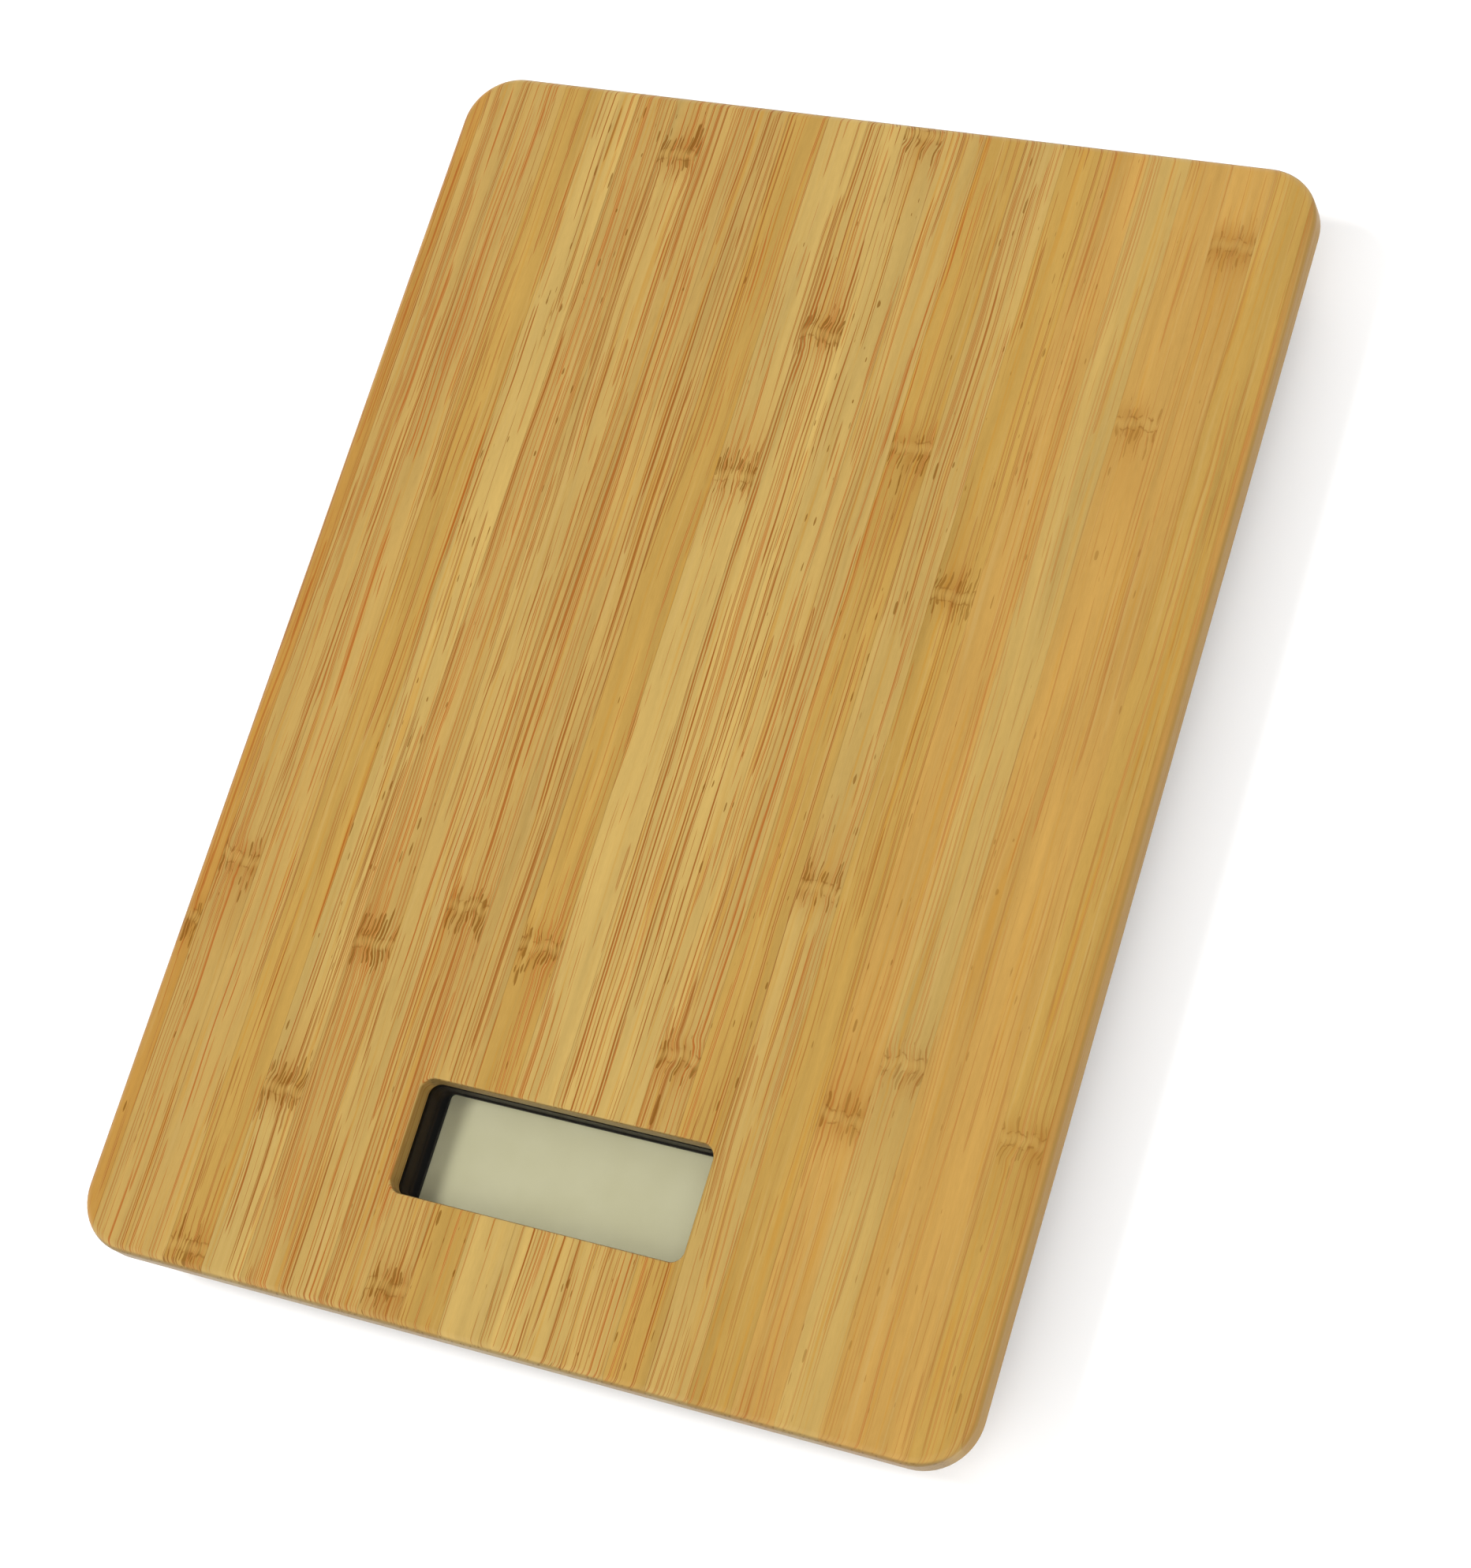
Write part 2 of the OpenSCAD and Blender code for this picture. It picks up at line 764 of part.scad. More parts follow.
// Strip up the side of the cell, with a tab over the holder's rim
module positive_contact() {
    color("gold")
        translate([battery.x, battery.y, 0]) {
            translate([contact_x, -contact_w / 2, contact_foot_z])
                cube([contact_t, contact_w, positive_tab_z - contact_foot_z + contact_t]);
            translate([contact_x, -contact_w / 2, positive_tab_z])
                cube([contact_tab_x - coin_d / 2, contact_w, contact_t]);
        }
}

// Leaf across the top of the cell, with a tab outward
module negative_contact() {
    color("gold")
        translate([battery.x - contact_tab_x, battery.y - contact_w / 2, coin_top])
            cube([contact_tab_x, contact_w, contact_t]);
}

// Wire from a contact's tab at height z to its pad on the circuit board, on one side of the cell
module battery_wire(side, z) {
    route = [
        [12, 1.6, z], [12.2, -0.2, z + 0.5], [12.6, -2.4, 11], [13.4, -7, 11.2],
        [12, -14, 10.5], [9, -22, 9]
    ];
    sweep(
        smooth_path(concat(
            [for (p = route) [battery.x + side * p.x, battery.y + p.y, p.z]],
            [[side * battery_pad_x, pad_row_y + 4, 7.6], [side * battery_pad_x, pad_row_y, 6.7]]
        )),
        wire_d, wire_sides);
}

module battery_wire_red() {
    color("red") battery_wire(1, positive_tab_z + contact_t + wire_d / 2 + 0.05);
}

module battery_wire_black() {
    color("black") battery_wire(-1, coin_top + contact_t + wire_d / 2 + 0.05);
}

module battery_door() {
    color("#262628")
        translate([battery.x, battery.y, 0])
            difference() {
                union() {
                    translate([0, 0, floor_z]) cylinder(r = door_r, h = floor_t + door_skirt_h);
                    for (k = [0 : door_lugs - 1])
                        rotate([0, 0, door_lug_start + k * 360 / door_lugs - door_lug_arc / 2])
                            translate([0, 0, floor_top + door_lug_gap])
                                rotate_extrude(angle = door_lug_arc)
                                    translate([door_r - 0.5, 0])
                                        square([door_lug_r - door_r + 0.5, door_lug_h]);
                }
                translate([0, 0, floor_top]) cylinder(r = door_r - door_skirt_t, h = door_skirt_h + cut);
                translate([-door_slot.x / 2, -door_slot.y / 2, floor_z - cut])
                    cube([door_slot.x, door_slot.y, door_slot.z + cut]);
                rotate([0, 0, -90]) translate([door_r - door_mark_gap, 0, floor_z - cut])
                    cylinder(d = door_mark_d, h = door_mark_h + cut);
            }
}

// Pieces --------------------------------------------------------------------------

platform_board();
window_lens();
lens_tape();
display_frame();
display_polariser();
display_front_glass();
display_rear_glass();
display_reflector();
zebra_connectors();
circuit_board();
controller_chip();
capacitors();
resistors();
crystal();
touch_springs();
frame_screws();
switch_dome();
unit_button();
base_shell();
board_screws();
battery_holder();
coin_cell();
positive_contact();
negative_contact();
battery_wire_red();
battery_wire_black();
battery_door();
clamp_screws();
load_cell(FRONT_LEFT);  // load_cell_front_left
load_cell(FRONT_RIGHT);  // load_cell_front_right
load_cell(BACK_LEFT);  // load_cell_back_left
load_cell(BACK_RIGHT);  // load_cell_back_right
strain_gauge(FRONT_LEFT);  // strain_gauge_front_left
strain_gauge(FRONT_RIGHT);  // strain_gauge_front_right
strain_gauge(BACK_LEFT);  // strain_gauge_back_left
strain_gauge(BACK_RIGHT);  // strain_gauge_back_right
cell_clamp(FRONT_LEFT);  // cell_clamp_front_left
cell_clamp(FRONT_RIGHT);  // cell_clamp_front_right
cell_clamp(BACK_LEFT);  // cell_clamp_back_left
cell_clamp(BACK_RIGHT);  // cell_clamp_back_right
cell_wires(FRONT_LEFT);  // cell_wires_front_left
cell_wires(FRONT_RIGHT);  // cell_wires_front_right
cell_wires(BACK_LEFT);  // cell_wires_back_left
cell_wires(BACK_RIGHT);  // cell_wires_back_right
foot(FRONT_LEFT);  // foot_front_left
foot(FRONT_RIGHT);  // foot_front_right
foot(BACK_LEFT);  // foot_back_left
foot(BACK_RIGHT);  // foot_back_right
foot_pad(FRONT_LEFT);  // foot_pad_front_left
foot_pad(FRONT_RIGHT);  // foot_pad_front_right
foot_pad(BACK_LEFT);  // foot_pad_back_left
foot_pad(BACK_RIGHT);  // foot_pad_back_right
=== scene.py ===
"""Looks of the slim kitchen scale: a satin bamboo board over a shallow black base."""

import json
import math

import bmesh
import bpy
from mathutils import Matrix, Vector


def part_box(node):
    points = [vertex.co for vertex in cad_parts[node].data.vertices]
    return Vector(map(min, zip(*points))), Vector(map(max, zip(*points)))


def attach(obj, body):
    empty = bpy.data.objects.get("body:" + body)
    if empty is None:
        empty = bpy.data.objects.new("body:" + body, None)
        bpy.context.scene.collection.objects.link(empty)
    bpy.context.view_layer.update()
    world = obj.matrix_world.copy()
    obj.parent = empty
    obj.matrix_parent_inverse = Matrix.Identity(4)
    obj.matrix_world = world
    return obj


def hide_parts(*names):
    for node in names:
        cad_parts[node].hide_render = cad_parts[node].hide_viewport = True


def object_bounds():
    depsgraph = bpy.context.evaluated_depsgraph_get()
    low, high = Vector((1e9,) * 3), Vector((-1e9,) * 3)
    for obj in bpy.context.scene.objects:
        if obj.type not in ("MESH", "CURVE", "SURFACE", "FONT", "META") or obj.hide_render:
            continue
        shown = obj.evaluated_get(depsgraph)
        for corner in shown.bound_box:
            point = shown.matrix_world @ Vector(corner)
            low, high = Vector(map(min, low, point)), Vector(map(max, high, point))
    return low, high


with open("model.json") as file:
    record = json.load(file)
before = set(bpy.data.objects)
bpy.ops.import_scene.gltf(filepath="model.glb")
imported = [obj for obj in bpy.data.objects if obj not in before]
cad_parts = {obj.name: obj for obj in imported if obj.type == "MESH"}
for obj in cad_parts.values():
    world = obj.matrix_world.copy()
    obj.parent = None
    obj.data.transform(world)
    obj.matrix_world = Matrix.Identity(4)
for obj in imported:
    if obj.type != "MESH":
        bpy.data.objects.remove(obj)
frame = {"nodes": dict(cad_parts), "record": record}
cad_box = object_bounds()

MM = 0.001
CORNERS = ("front_left", "front_right", "back_left", "back_right")

# Studio, in metres and watts
LIGHT_LEVEL = 1.65  # brightness of a white surface that faces up
SHEEN = 0.014  # brightness that reflections add to satin surfaces
WORLD_LIGHT = 1.5
FLAG = (-0.38, 0.254, 0.889)  # where a dark flag hangs in the white studio, so that no sheen shows
FLAG_FADE = ((0.82, 1.0), (0.94, 0.02))  # brightness by the cosine of the angle from its middle
# Name, place, width and power of each lamp
LIGHTS = (
    ("key", (-1.35, -0.1, 2.1), 0.6, 34),
    ("side", (2.3, -0.9, 0.4), 0.8, 8),
)
FLOOR_SIZE = 6.0
FLOOR_GAP = 0.0002  # below the feet

# Camera, in degrees, metres and lens millimetres; AIM is on the board's top face
LENS_MM = 83.43
AZIMUTH = 56.23
ELEVATION = 62.76
ROLL = -41.85
DISTANCE = 0.6160
AIM = (0.0113, -0.0121)

# Board, in millimetres
BOARD_CORNER_R = 10
BOARD_EDGE_R = 1.5
WINDOW_LAP = (2.7, 2.9)  # how far the lens laps under the board beside the window
WINDOW_R = 2.3
WINDOW_EDGE_R = 0.5
REBATE_PLAY = 0.1
REBATE_R = 3
TAPE_T = 0.2
HOLE_PLAY = 0.2  # room past the end of a screw in the board
# Nodes that stand in blind holes under the board, and the holes' diameters
BLIND_HOLES = (("board_screws", 3.1), ("frame_screws", 2.3), ("touch_springs", 8))
SHARP_ANGLE = 35  # degrees between faces, above which an edge stays sharp

# Lens, feet and button, in millimetres
LENS_BEVEL = 0.12
FOOT_DISC_TOP = 3.6
FOOT_RIM_R = 0.4
FOOT_STEM_R = 4.5
FOOT_STEM_TOP = 6.6
FOOT_PIN_R = 1.9
FOOT_PIN_END = 8.2
FOOT_HEAD_R = 2.7
TREAD_DEPTH = 0.35
TREAD_GROOVES = (5.2, 8.2)  # radii
TREAD_GROOVE = (0.25, 0.4)  # half widths at the bottom and at the tread
BUTTON_R = 4.0
BUTTON_FLANGE = (4.05, 4.5)  # bottom and top
BUTTON_NUB_R = 1.2

# Circuit board, in millimetres
TRACK_PITCH = 1.27

# Bamboo strips across the board, from its left edge, in millimetres
FIRST_STRIP = 3.7
STRIP = 7.61
TONES = {
    "amber": (193, 146, 74),
    "tan": (196, 161, 93),
    "wheat": (200, 166, 97),
    "straw": (204, 171, 101),
    "honey": (202, 159, 87),
    "ochre": (196, 157, 84),
}
LONG_FIBRE_PITCH = 1.25
FINE_FIBRE_PITCH = 0.62
KNUCKLE_FIBRE_PITCH = 0.6
END_DOT_PITCH = 0.62
NO_KNUCKLE = 300  # a distance past the board's far edge
# Tone, how many dark fibres it shows (0 to 1), and its knuckle's distance from the near edge
STRIPS = (
    ("amber", 0.6, 60), ("tan", 0.7, 72), ("tan", 0.6, NO_KNUCKLE), ("ochre", 0.5, 4),
    ("straw", 0.3, 34), ("tan", 0.9, 62), ("wheat", 0.5, 218), ("tan", 0.9, 72),
    ("tan", 0.6, 6), ("ochre", 0.5, 68), ("straw", 0.2, 158), ("straw", 0.8, 187),
    ("straw", 0.3, 228), ("wheat", 0.5, 55), ("ochre", 0.5, 168), ("wheat", 0.6, 88),
    ("ochre", 0.5, 143), ("honey", 0.4, 51), ("wheat", 0.3, 62), ("honey", 0.4, 179),
    ("honey", 0.3, 214), ("ochre", 0.3, 54), ("amber", 0.3, NO_KNUCKLE),
)


def seen(rgb):
    """Base colour that looks like this sRGB one, from 0 to 255, under the studio's light."""
    linear = ((c / 255 / 12.92) if c < 10.3 else ((c / 255 + 0.055) / 1.055) ** 2.4 for c in rgb)
    return tuple(max(c - SHEEN, 0.15 * c) / LIGHT_LEVEL for c in linear)


# Shader building -------------------------------------------------------------------


class Field:
    """A number that varies over a surface. Arithmetic on it adds Math nodes."""

    def __init__(self, shade, socket):
        self.shade, self.socket = shade, socket

    def __add__(self, other):
        return self.shade.math("ADD", self, other)

    def __sub__(self, other):
        return self.shade.math("SUBTRACT", self, other)

    def __rsub__(self, other):
        return self.shade.math("SUBTRACT", other, self)

    def __mul__(self, other):
        return self.shade.math("MULTIPLY", self, other)

    def __truediv__(self, other):
        return self.shade.math("DIVIDE", self, other)

    def floor(self):
        return self.shade.math("FLOOR", self)

    def fract(self):
        return self.shade.math("FRACT", self)

    def abs(self):
        return self.shade.math("ABSOLUTE", self)

    def sign(self):
        return self.shade.math("SIGN", self)

    def step(self, low, high):
        """0 below low and 1 above high, with a smooth turn between them; high may be the lower."""
        return self.shade.smooth(self, low, high)

    def bell(self, width):
        """1 where the field is 0, falling to 0 at width on either side."""
        return self.abs().step(width, 0)


class Shade:
    """A material and short calls for its nodes."""

    def __init__(self, name, roughness=0.5, **fixed):
        """Starts from a principled surface; fixed names its other inputs, such as coat_weight."""
        self.material = bpy.data.materials.new(name)
        self.material.use_nodes = True
        self.tree = self.material.node_tree
        self.tree.nodes.clear()
        self.output = self.node("ShaderNodeOutputMaterial")
        self.surface = self.node("ShaderNodeBsdfPrincipled")
        self.surface.inputs["Roughness"].default_value = roughness
        for key, value in fixed.items():
            label = key.replace("_", " ").title().replace("Ior", "IOR")
            self.surface.inputs[label].default_value = value
        self.link(self.surface.outputs[0], self.output.inputs["Surface"])
        coordinates = self.node("ShaderNodeTexCoord")
        split = self.node("ShaderNodeSeparateXYZ")
        scale = self.node("ShaderNodeVectorMath")
        scale.operation = "SCALE"
        scale.inputs["Scale"].default_value = 1 / MM
        self.link(coordinates.outputs["Object"], scale.inputs[0])
        self.link(scale.outputs[0], split.inputs[0])
        self.point = scale.outputs[0]
        self.x, self.y, self.z = (Field(self, split.outputs[i]) for i in range(3))

    def node(self, kind):
        return self.tree.nodes.new(kind)

    def link(self, source, target):
        self.tree.links.new(source, target)

    def feed(self, socket, value):
        """Links a field or socket to an input, or sets the input to a plain value."""
        if isinstance(value, Field):
            self.link(value.socket, socket)
        elif isinstance(value, bpy.types.NodeSocket):
            self.link(value, socket)
        else:
            socket.default_value = value

    def math(self, operation, *values):
        node = self.node("ShaderNodeMath")
        node.operation = operation
        for socket, value in zip(node.inputs, values):
            self.feed(socket, value)
        return Field(self, node.outputs[0])

    def smooth(self, value, low, high):
        """A smooth step, rising where low is below high and falling where it is above."""
        node = self.node("ShaderNodeMapRange")
        node.interpolation_type = "SMOOTHSTEP"
        rising = low < high
        for name, number in (("From Min", min(low, high)), ("From Max", max(low, high))):
            node.inputs[name].default_value = number
        node.inputs["To Min"].default_value = 0 if rising else 1
        node.inputs["To Max"].default_value = 1 if rising else 0
        self.feed(node.inputs["Value"], value)
        return Field(self, node.outputs[0])

    def vector(self, x, y=0.0, z=0.0):
        node = self.node("ShaderNodeCombineXYZ")
        for socket, value in zip(node.inputs, (x, y, z)):
            self.feed(socket, value)
        return node.outputs[0]

    def noise(self, x, y=0.0, z=0.0, detail=2.0, rough=0.5):
        """Noise from about 0 to 1 at a point; the features are about 1 unit across."""
        node = self.node("ShaderNodeTexNoise")
        node.inputs["Scale"].default_value = 1
        node.inputs["Detail"].default_value = detail
        node.inputs["Roughness"].default_value = rough
        self.link(self.vector(x, y, z), node.inputs["Vector"])
        return Field(self, node.outputs["Fac"])

    def grain(self, size, detail=3.0, rough=0.6):
        """Even noise over the object, with features of this size in millimetres."""
        node = self.node("ShaderNodeTexNoise")
        node.inputs["Scale"].default_value = 1 / size
        node.inputs["Detail"].default_value = detail
        node.inputs["Roughness"].default_value = rough
        self.link(self.point, node.inputs["Vector"])
        return Field(self, node.outputs["Fac"])

    def cells(self, x, y=0.0, z=0.0):
        """Distance to the nearest of one random dot per unit cell."""
        node = self.node("ShaderNodeTexVoronoi")
        node.inputs["Scale"].default_value = 1
        self.link(self.vector(x, y, z), node.inputs["Vector"])
        return Field(self, node.outputs["Distance"])

    def random(self, a, b=0.0):
        """A random number from 0 to 1 for each pair of whole numbers."""
        node = self.node("ShaderNodeTexWhiteNoise")
        node.noise_dimensions = "2D"
        self.link(self.vector(a, b), node.inputs["Vector"])
        return Field(self, node.outputs["Value"])

    def pick(self, share, colours):
        """The colour whose place in the list share, from 0 to 1, falls in."""
        node = self.node("ShaderNodeValToRGB")
        ramp = node.color_ramp
        ramp.interpolation = "CONSTANT"
        for i in range(2, len(colours)):
            ramp.elements.new(0.5)
        for i, colour in enumerate(colours):
            ramp.elements[i].position = i / len(colours)
        for element, colour in zip(ramp.elements, colours):
            element.color = (*colour, 1)
        self.feed(node.inputs["Fac"], share)
        return node.outputs["Color"]

    def split(self, colour):
        """The colour's red, green and blue as fields."""
        node = self.node("ShaderNodeSeparateColor")
        self.link(colour, node.inputs[0])
        return [Field(self, node.outputs[i]) for i in range(3)]

    def mix(self, share, first, second):
        """The first colour where share is 0 and the second where it is 1."""
        node = self.node("ShaderNodeMix")
        node.data_type = "RGBA"
        self.feed(node.inputs["Factor"], share)
        ends = [socket for socket in node.inputs if socket.type == "RGBA"]
        for socket, value in zip(ends, (first, second)):
            self.feed(socket, (*value, 1) if isinstance(value, tuple) else value)
        return next(socket for socket in node.outputs if socket.type == "RGBA")

    def bright(self, colour, share):
        """The colour times a field."""
        node = self.node("ShaderNodeVectorMath")
        node.operation = "SCALE"
        self.feed(node.inputs[0], colour)
        self.feed(node.inputs["Scale"], share)
        return node.outputs[0]

    def paint(self, colour, roughness=None):
        self.feed(self.surface.inputs["Base Color"], colour)
        if roughness is not None:
            self.feed(self.surface.inputs["Roughness"], roughness)

    def bump(self, height, depth):
        """Relief of this depth in millimetres where height goes from 0 to 1."""
        node = self.node("ShaderNodeBump")
        node.inputs["Strength"].default_value = 1
        node.inputs["Distance"].default_value = depth * MM
        self.feed(node.inputs["Height"], height)
        self.link(node.outputs[0], self.surface.inputs["Normal"])


# Bamboo ----------------------------------------------------------------------------


class Bamboo(Shade):
    """Edge-laminated strips with an oiled satin finish: fibres, knuckles and end grain."""

    def __init__(self):
        super().__init__("bamboo", roughness=0.42, ior=1.28)
        self.low, self.high = (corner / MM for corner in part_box("platform_board"))
        self.lay_strips()
        self.place_knuckles()
        self.run_grain()
        self.grow_fibres()
        colour = self.tone()
        colour = self.stain_knuckles(colour)
        colour = self.draw_fibres(colour)
        colour = self.cross_bands(colour)
        colour = self.glue_lines(colour)
        colour = self.sides(colour)
        self.paint(colour, roughness=(self.speck - 0.5) * 0.14 + self.long_dark * 0.06 + 0.4)
        self.bump((self.speck - 0.5) * 0.3 - self.long_dark * 0.4 - self.short_dark * 0.4
                  - self.joint * 0.6, 0.014)

    def lay_strips(self):
        """Which strip a point is on, counted from the left, and what that strip is like."""
        self.from_left = self.x - self.low.x
        place = (self.from_left - FIRST_STRIP) / STRIP
        self.strip = self.math("MINIMUM", place.floor() + 1, float(len(STRIPS) - 1))
        self.tilt = place.fract() - 0.5  # from one side of the strip to the other
        share = (self.strip + 0.5) / len(STRIPS)
        traits = [(distance / NO_KNUCKLE, dark, 0) for _, dark, distance in STRIPS]
        self.knuckle, self.density, _ = self.split(self.pick(share, traits))
        self.base = self.pick(share, [seen(TONES[tone]) for tone, _, _ in STRIPS])
        self.luck = self.random(self.strip, 3.0)  # one for the whole strip

    def place_knuckles(self):
        """Distance along the strip from its knuckle, how near that is, and whether it is on the
        knuckle's stained side."""
        self.beyond = self.y - self.low.y - self.knuckle * NO_KNUCKLE
        self.near = self.beyond.bell(9)
        self.after = (self.beyond * (self.luck - 0.5).sign()).step(-4, 2)

    def run_grain(self):
        """Grain that runs on over the side faces, drifts a little, and swirls at the knuckle."""
        y, strip, uneven = self.y, self.strip, self.luck - 0.5
        self.side = self.from_left + self.x.sign() * (self.high.z - self.z)
        drift = self.noise(strip * 5.7, self.side / 14, y / 60) * 2.2 + uneven * 0.012 * y
        swirl = (self.noise(self.side / 2.6, y / 5.0, strip * 2.3) - 0.5) * self.near * 1.6
        across = self.side + drift + swirl + self.beyond.bell(3.5) * uneven * 1.4
        self.across = across + (self.noise(across / 1.6, y / 200, strip * 5.3) - 0.5) * 1.6
        self.along = y + self.luck * 90

    def fibres(self, spacing, width, length, density, seed):
        """Two fields for long thin fibres, one to a column of this spacing: where they are dark,
        and their pale cores. All sizes are in millimetres."""
        column = (self.across / spacing).floor()
        place = self.random(column + seed, self.strip)
        kind = self.random(column + seed + 50, self.strip)
        off = ((self.across / spacing).fract() - (place * 0.5 + 0.25)).abs() * spacing
        shown = self.noise(column * 7.3 + seed, self.strip * 3.1, self.along / length, detail=1.0)
        half = (shown + density).step(0.47, 0.58) * (kind * 0.6 + 0.7) * (width / 2)
        reach = off / (half + 0.001)
        dark = reach.step(1.25, 0.75)
        core = reach.step(0.55, 0.2) * kind.step(0.35, 0.5)
        return dark * half.step(0.02, 0.06), core * dark

    def grow_fibres(self):
        """Long and fine fibres that crowd in places, and short ones near the knuckle. The field
        blur makes them fainter towards the right."""
        cluster = self.noise(self.across / 2.2 + 70, self.y / 110, self.strip * 8.3)
        crowd = (self.density - 0.5) * 0.2 + (cluster - 0.5) * 0.5 + self.near * 0.08 - 0.02
        local = self.near * (self.luck * 0.16 + 0.2) + self.after * 0.08 - 0.28
        self.long_dark, self.long_core = self.fibres(LONG_FIBRE_PITCH, 0.32, 38, crowd, 1)
        self.fine_dark, self.fine_core = self.fibres(FINE_FIBRE_PITCH, 0.2, 26, crowd + 0.02, 11)
        self.short_dark, _ = self.fibres(KNUCKLE_FIBRE_PITCH, 0.3, 4.5, local, 23)
        self.blur = self.x.step(20, 62)

    def tone(self):
        """The colour between the fibres: cloudy, streaked and finely specked."""
        across, y, strip = self.across, self.y, self.strip
        self.cloud = self.noise(across / 2.6, y / 45, strip * 1.7, detail=3.0)
        self.speck = self.noise(across / 0.16, y / 2.4, 0.0, detail=2.0, rough=0.6)
        streak = self.noise(across / 0.9, y / 60, strip * 4.1, detail=2.0)
        broad = self.noise(across / 2.1 + 40, y / 90, strip * 6.1, detail=2.0)
        value = ((self.cloud - 0.5) * 0.4 + (broad - 0.5) * 0.34
                 + self.tilt * (self.luck - 0.5) * 0.2 + (self.speck - 0.5) * 0.22 + 1.03)
        colour = self.bright(self.base, value)
        colour = self.mix(streak.step(0.56, 0.72) * 0.45, colour, seen((203, 146, 58)))
        return self.mix(streak.step(0.42, 0.28) * 0.35, colour, seen((211, 178, 112)))

    def stain_knuckles(self, colour):
        """A brown tail on one side of the knuckle, and a stain round it."""
        tail = self.after * self.beyond.bell(26) * self.cloud.step(0.3, 0.65)
        colour = self.mix(tail * 0.4, colour, seen((178, 127, 60)))
        stain = self.near * self.near * self.cloud.step(0.35, 0.6)
        return self.mix(stain * 0.45, colour, seen((172, 118, 52)))

    def draw_fibres(self, colour):
        """Brown fibres with pale cores, and darker short ones."""
        hue = self.random((self.across / LONG_FIBRE_PITCH).floor(), self.strip + 9.0)
        brown = self.mix(hue, seen((156, 91, 37)), seen((186, 105, 45)))
        strength = 0.95 - self.blur * 0.5
        for field, share, tint in (
            (self.fine_dark, 0.7, brown), (self.fine_core, 0.4, seen((216, 180, 108))),
            (self.long_dark, 0.9, brown), (self.long_core, 0.75, seen((212, 172, 98))),
            (self.short_dark, 0.8, seen((138, 90, 34))),
        ):
            colour = self.mix(field * strength * share, colour, tint)
        return colour

    def cross_bands(self, colour):
        """The knuckle's pale cross band between two broken brown edges."""
        wander = (self.noise(self.side / 2.4, self.strip * 7.7, 0.0, detail=3.0) - 0.5) * 4.5
        off = self.beyond + wander
        edge = (off.abs() - 1.1).bell(0.35)
        patches = self.noise(self.side / 1.1, self.beyond / 0.8, self.strip * 9.1, detail=2.0)
        colour = self.mix(off.bell(1.6) * 0.35, colour, seen((212, 174, 98)))
        return self.mix(edge * patches.step(0.48, 0.6) * 0.45, colour, seen((138, 88, 38)))

    def glue_lines(self, colour):
        """A thin dark line between each two strips."""
        self.joint = (self.tilt.abs() - 0.5).bell(0.018)
        return self.mix(self.joint * (1 - self.blur * 0.6) * 0.35, colour, seen((120, 80, 38)))

    def sides(self, colour):
        """Dotted end grain on the faces across the strips, its darker tone partly painted shade, and
        painted shade that darkens the side faces.
        """
        geometry = self.node("ShaderNodeNewGeometry")
        normal = self.node("ShaderNodeSeparateXYZ")
        self.link(geometry.outputs["Normal"], normal.inputs[0])
        end = Field(self, normal.outputs["Y"]).abs().step(0.55, 0.85)
        painted_side_shade = Field(self, normal.outputs["X"]).abs().step(0.5, 0.95)
        dots = self.cells(self.x / END_DOT_PITCH, self.z / END_DOT_PITCH, self.y.sign())
        # The dots are the end grain's own; the darker base is partly the end grain's real tone and partly
        # painted shade.
        end_grain_and_shade = self.mix(
            dots.step(0.38, 0.2) * 0.6, self.bright(self.base, 0.58), seen((106, 74, 34)))
        colour = self.mix(end, colour, end_grain_and_shade)
        # Painted shade: the side faces are darkened by the way they face, as light falls on them, not by
        # the wood's colour.
        return self.mix(painted_side_shade * 0.6, colour, seen((152, 122, 58)))


# Other materials -------------------------------------------------------------------


def moulded(name, colour, roughness=0.55, texture=0.35, depth=0.02, coat=0.0):
    """Moulded plastic with a fine eroded texture, slightly uneven in gloss and colour."""
    shade = Shade(
        name, roughness=roughness, specular_ior_level=0.3, coat_weight=coat, coat_roughness=0.15)
    fine = shade.grain(texture)
    broad = shade.grain(18, detail=2.0)
    colour = shade.mix(broad.step(0.35, 0.65), seen(colour),
                       tuple(c * 1.25 + 0.002 for c in seen(colour)))
    shade.paint(colour, roughness=(fine - 0.5) * 0.2 + (broad - 0.5) * 0.1 + roughness)
    shade.bump(fine, depth)
    return shade.material


def metal(name, colour, roughness=0.3, brushed=(1, 1, 1), depth=0.004):
    """Bare or plated metal: fine scratches stretched by brushed, and cloudy gloss."""
    shade = Shade(name, roughness=roughness, metallic=1.0)
    scratch = shade.noise(shade.x / (0.2 * brushed[0]), shade.y / (0.2 * brushed[1]),
                          shade.z / (0.2 * brushed[2]), detail=3.0)
    cloud = shade.grain(5)
    base = seen(colour)
    shade.paint(shade.mix(cloud.step(0.3, 0.7), tuple(c * 0.86 for c in base), base),
                roughness=(scratch - 0.5) * 0.25 + (cloud - 0.5) * 0.15 + roughness)
    shade.bump(scratch, depth)
    return shade.material


def rubber(name, colour, roughness=0.8):
    """Matt rubber with a little dust."""
    shade = Shade(name, roughness=roughness, sheen_weight=0.2)
    fine = shade.grain(0.25)
    dust = shade.grain(6)
    shade.paint(shade.mix(dust.step(0.45, 0.75) * 0.5, seen(colour),
                          tuple(c * 1.8 + 0.01 for c in seen(colour))),
                roughness=(fine - 0.5) * 0.2 + roughness)
    shade.bump(fine, 0.02)
    return shade.material


